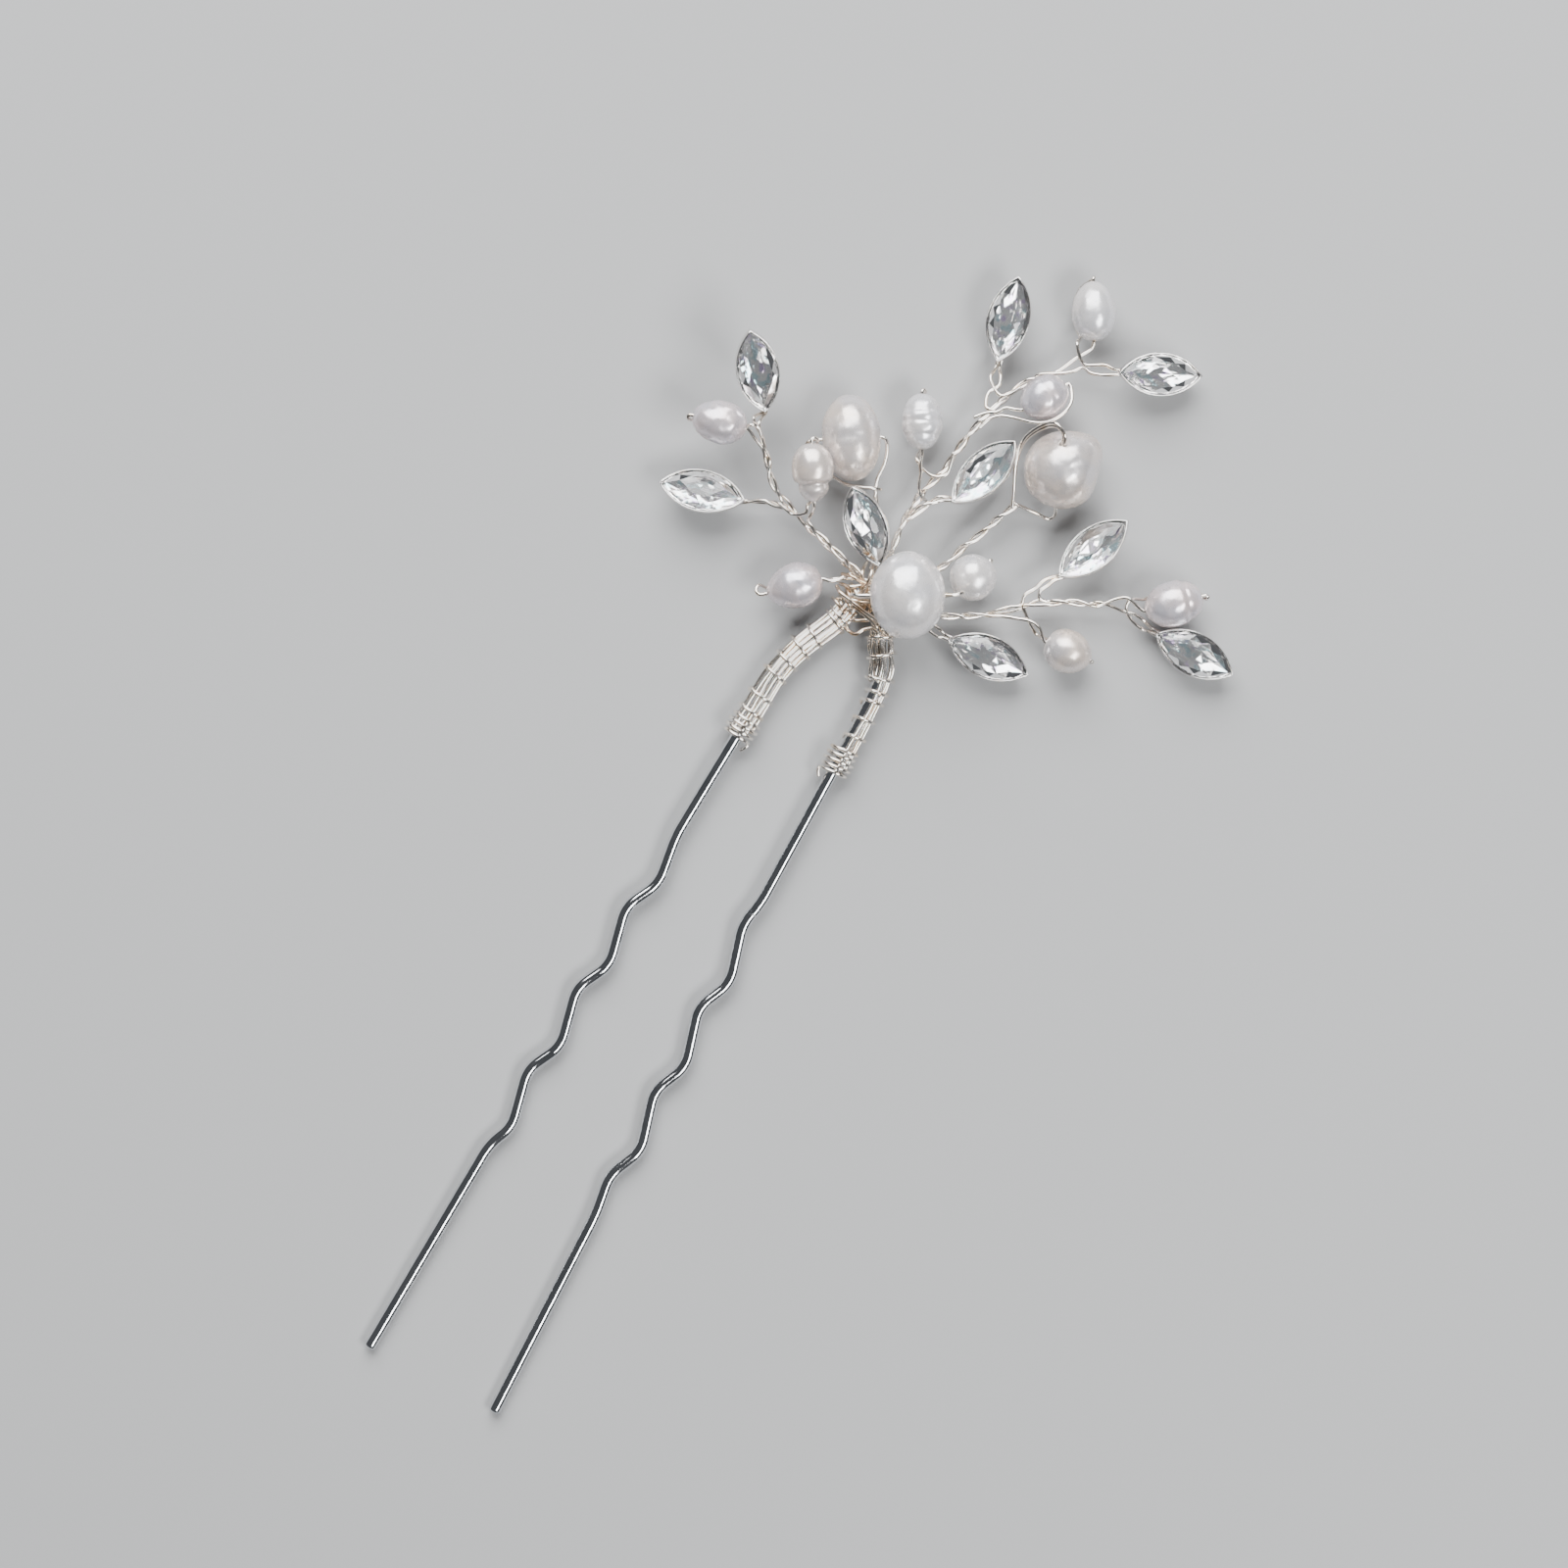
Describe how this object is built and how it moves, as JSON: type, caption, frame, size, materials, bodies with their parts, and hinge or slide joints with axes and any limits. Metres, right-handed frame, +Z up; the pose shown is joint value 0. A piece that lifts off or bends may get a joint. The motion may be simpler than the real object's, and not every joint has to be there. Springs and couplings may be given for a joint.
{
  "type": "decorative hair pin",
  "caption": "U-shaped wire hair pin with crinkled legs and a spray of pearls and navette crystals on twisted wire stems.",
  "frame": {"origin": "under the middle of the whole pin, on the surface that it lies on with its front up", "axes": "+Y from the leg tips towards the spray, +Z up out of the front of the spray, +X to the right as seen from the front"},
  "size_m": [0.0584, 0.125, 0.0106],
  "materials": {
    "pin_steel": "polished drawn wire",
    "silver_wire": "bright silver plate, slightly warm",
    "setting": "bright plated thin sheet",
    "crystal": "clear, faceted, foiled behind",
    "pearl_white": "satin white nacre",
    "pearl_cream": "lustrous cream nacre",
    "pearl_rose": "lustrous nacre with a rose tint"
  },
  "bodies": {
    "pin_and_spray": {"hair_pin": "pin_steel", "tails_left": "silver_wire", "binding_left": "silver_wire", "tails_right": "silver_wire", "binding_right": "silver_wire", "winding_bow": "silver_wire", "wire_left_branch": "silver_wire", "wire_upper_branch": "silver_wire", "wire_right_branch": "silver_wire", "wire_baroque_pearl": "silver_wire", "wire_oval_pearl": "silver_wire", "wire_centre_pearl": "silver_wire", "wire_round_pearl": "silver_wire", "wire_left_pearl": "silver_wire", "wire_front_crystal": "silver_wire", "wire_lower_crystal": "silver_wire", "pearl_centre": "pearl_white", "pearl_oval_large": "pearl_cream", "pearl_baroque": "pearl_cream", "crystal_upper_left": "crystal", "setting_upper_left": "setting", "crystal_upper_right": "crystal", "setting_upper_right": "setting", "crystal_upper_inner": "crystal", "setting_upper_inner": "setting", "crystal_left_outer": "crystal", "setting_left_outer": "setting", "crystal_left_top": "crystal", "setting_left_top": "setting", "crystal_front": "crystal", "setting_front": "setting", "crystal_right_upper": "crystal", "setting_right_upper": "setting", "crystal_lower": "crystal", "setting_lower": "setting", "crystal_right_outer": "crystal", "setting_right_outer": "setting"},
    "bead_left_outer": {"pearl_left_outer": "pearl_rose"},
    "bead_waisted": {"pearl_waisted": "pearl_cream"},
    "bead_ringed": {"pearl_ringed": "pearl_white"},
    "bead_upper_middle": {"pearl_upper_middle": "pearl_rose"},
    "bead_upper_tip": {"pearl_upper_tip": "pearl_white"},
    "bead_round_small": {"pearl_round_small": "pearl_white"},
    "bead_right_tip": {"pearl_right_tip": "pearl_rose"},
    "bead_right_lower": {"pearl_right_lower": "pearl_cream"},
    "bead_left_lower": {"pearl_left_lower": "pearl_rose"}
  },
  "joints": [
    {"name": "left_outer_spin", "type": "hinge", "parent": "pin_and_spray", "child": "bead_left_outer", "pos_m": [-0.02592, 0.03233, 0.0056], "axis": [-0.9646, -0.2585, 0.0523], "continuous": true},
    {"name": "waisted_spin", "type": "hinge", "parent": "pin_and_spray", "child": "bead_waisted", "pos_m": [-0.01572, 0.03233, 0.0057], "axis": [-0.527, 0.8434, 0.1045], "continuous": true},
    {"name": "ringed_spin", "type": "hinge", "parent": "pin_and_spray", "child": "bead_ringed", "pos_m": [-0.00902, 0.04203, 0.0029], "axis": [-0.4848, 0.8746, 0], "continuous": true},
    {"name": "upper_middle_spin", "type": "hinge", "parent": "pin_and_spray", "child": "bead_upper_middle", "pos_m": [0.00018, 0.04973, 0.0037], "axis": [0.515, 0.8572, 0], "continuous": true},
    {"name": "upper_tip_spin", "type": "hinge", "parent": "pin_and_spray", "child": "bead_upper_tip", "pos_m": [0.00028, 0.05943, 0.0028], "axis": [-0.5, 0.866, 0], "continuous": true},
    {"name": "round_small_spin", "type": "hinge", "parent": "pin_and_spray", "child": "bead_round_small", "pos_m": [0.00258, 0.03123, 0.0029], "axis": [0.2756, 0.9613, 0], "continuous": true},
    {"name": "right_tip_spin", "type": "hinge", "parent": "pin_and_spray", "child": "bead_right_tip", "pos_m": [0.02078, 0.03843, 0.0028], "axis": [0.7193, 0.6947, 0], "continuous": true},
    {"name": "right_lower_spin", "type": "hinge", "parent": "pin_and_spray", "child": "bead_right_lower", "pos_m": [0.01408, 0.02943, 0.0028], "axis": [0.9925, 0.1219, 0], "continuous": true},
    {"name": "left_lower_spin", "type": "hinge", "parent": "pin_and_spray", "child": "bead_left_lower", "pos_m": [-0.01212, 0.02213, 0.00295], "axis": [-0.7193, -0.6947, 0], "continuous": true}
  ]
}
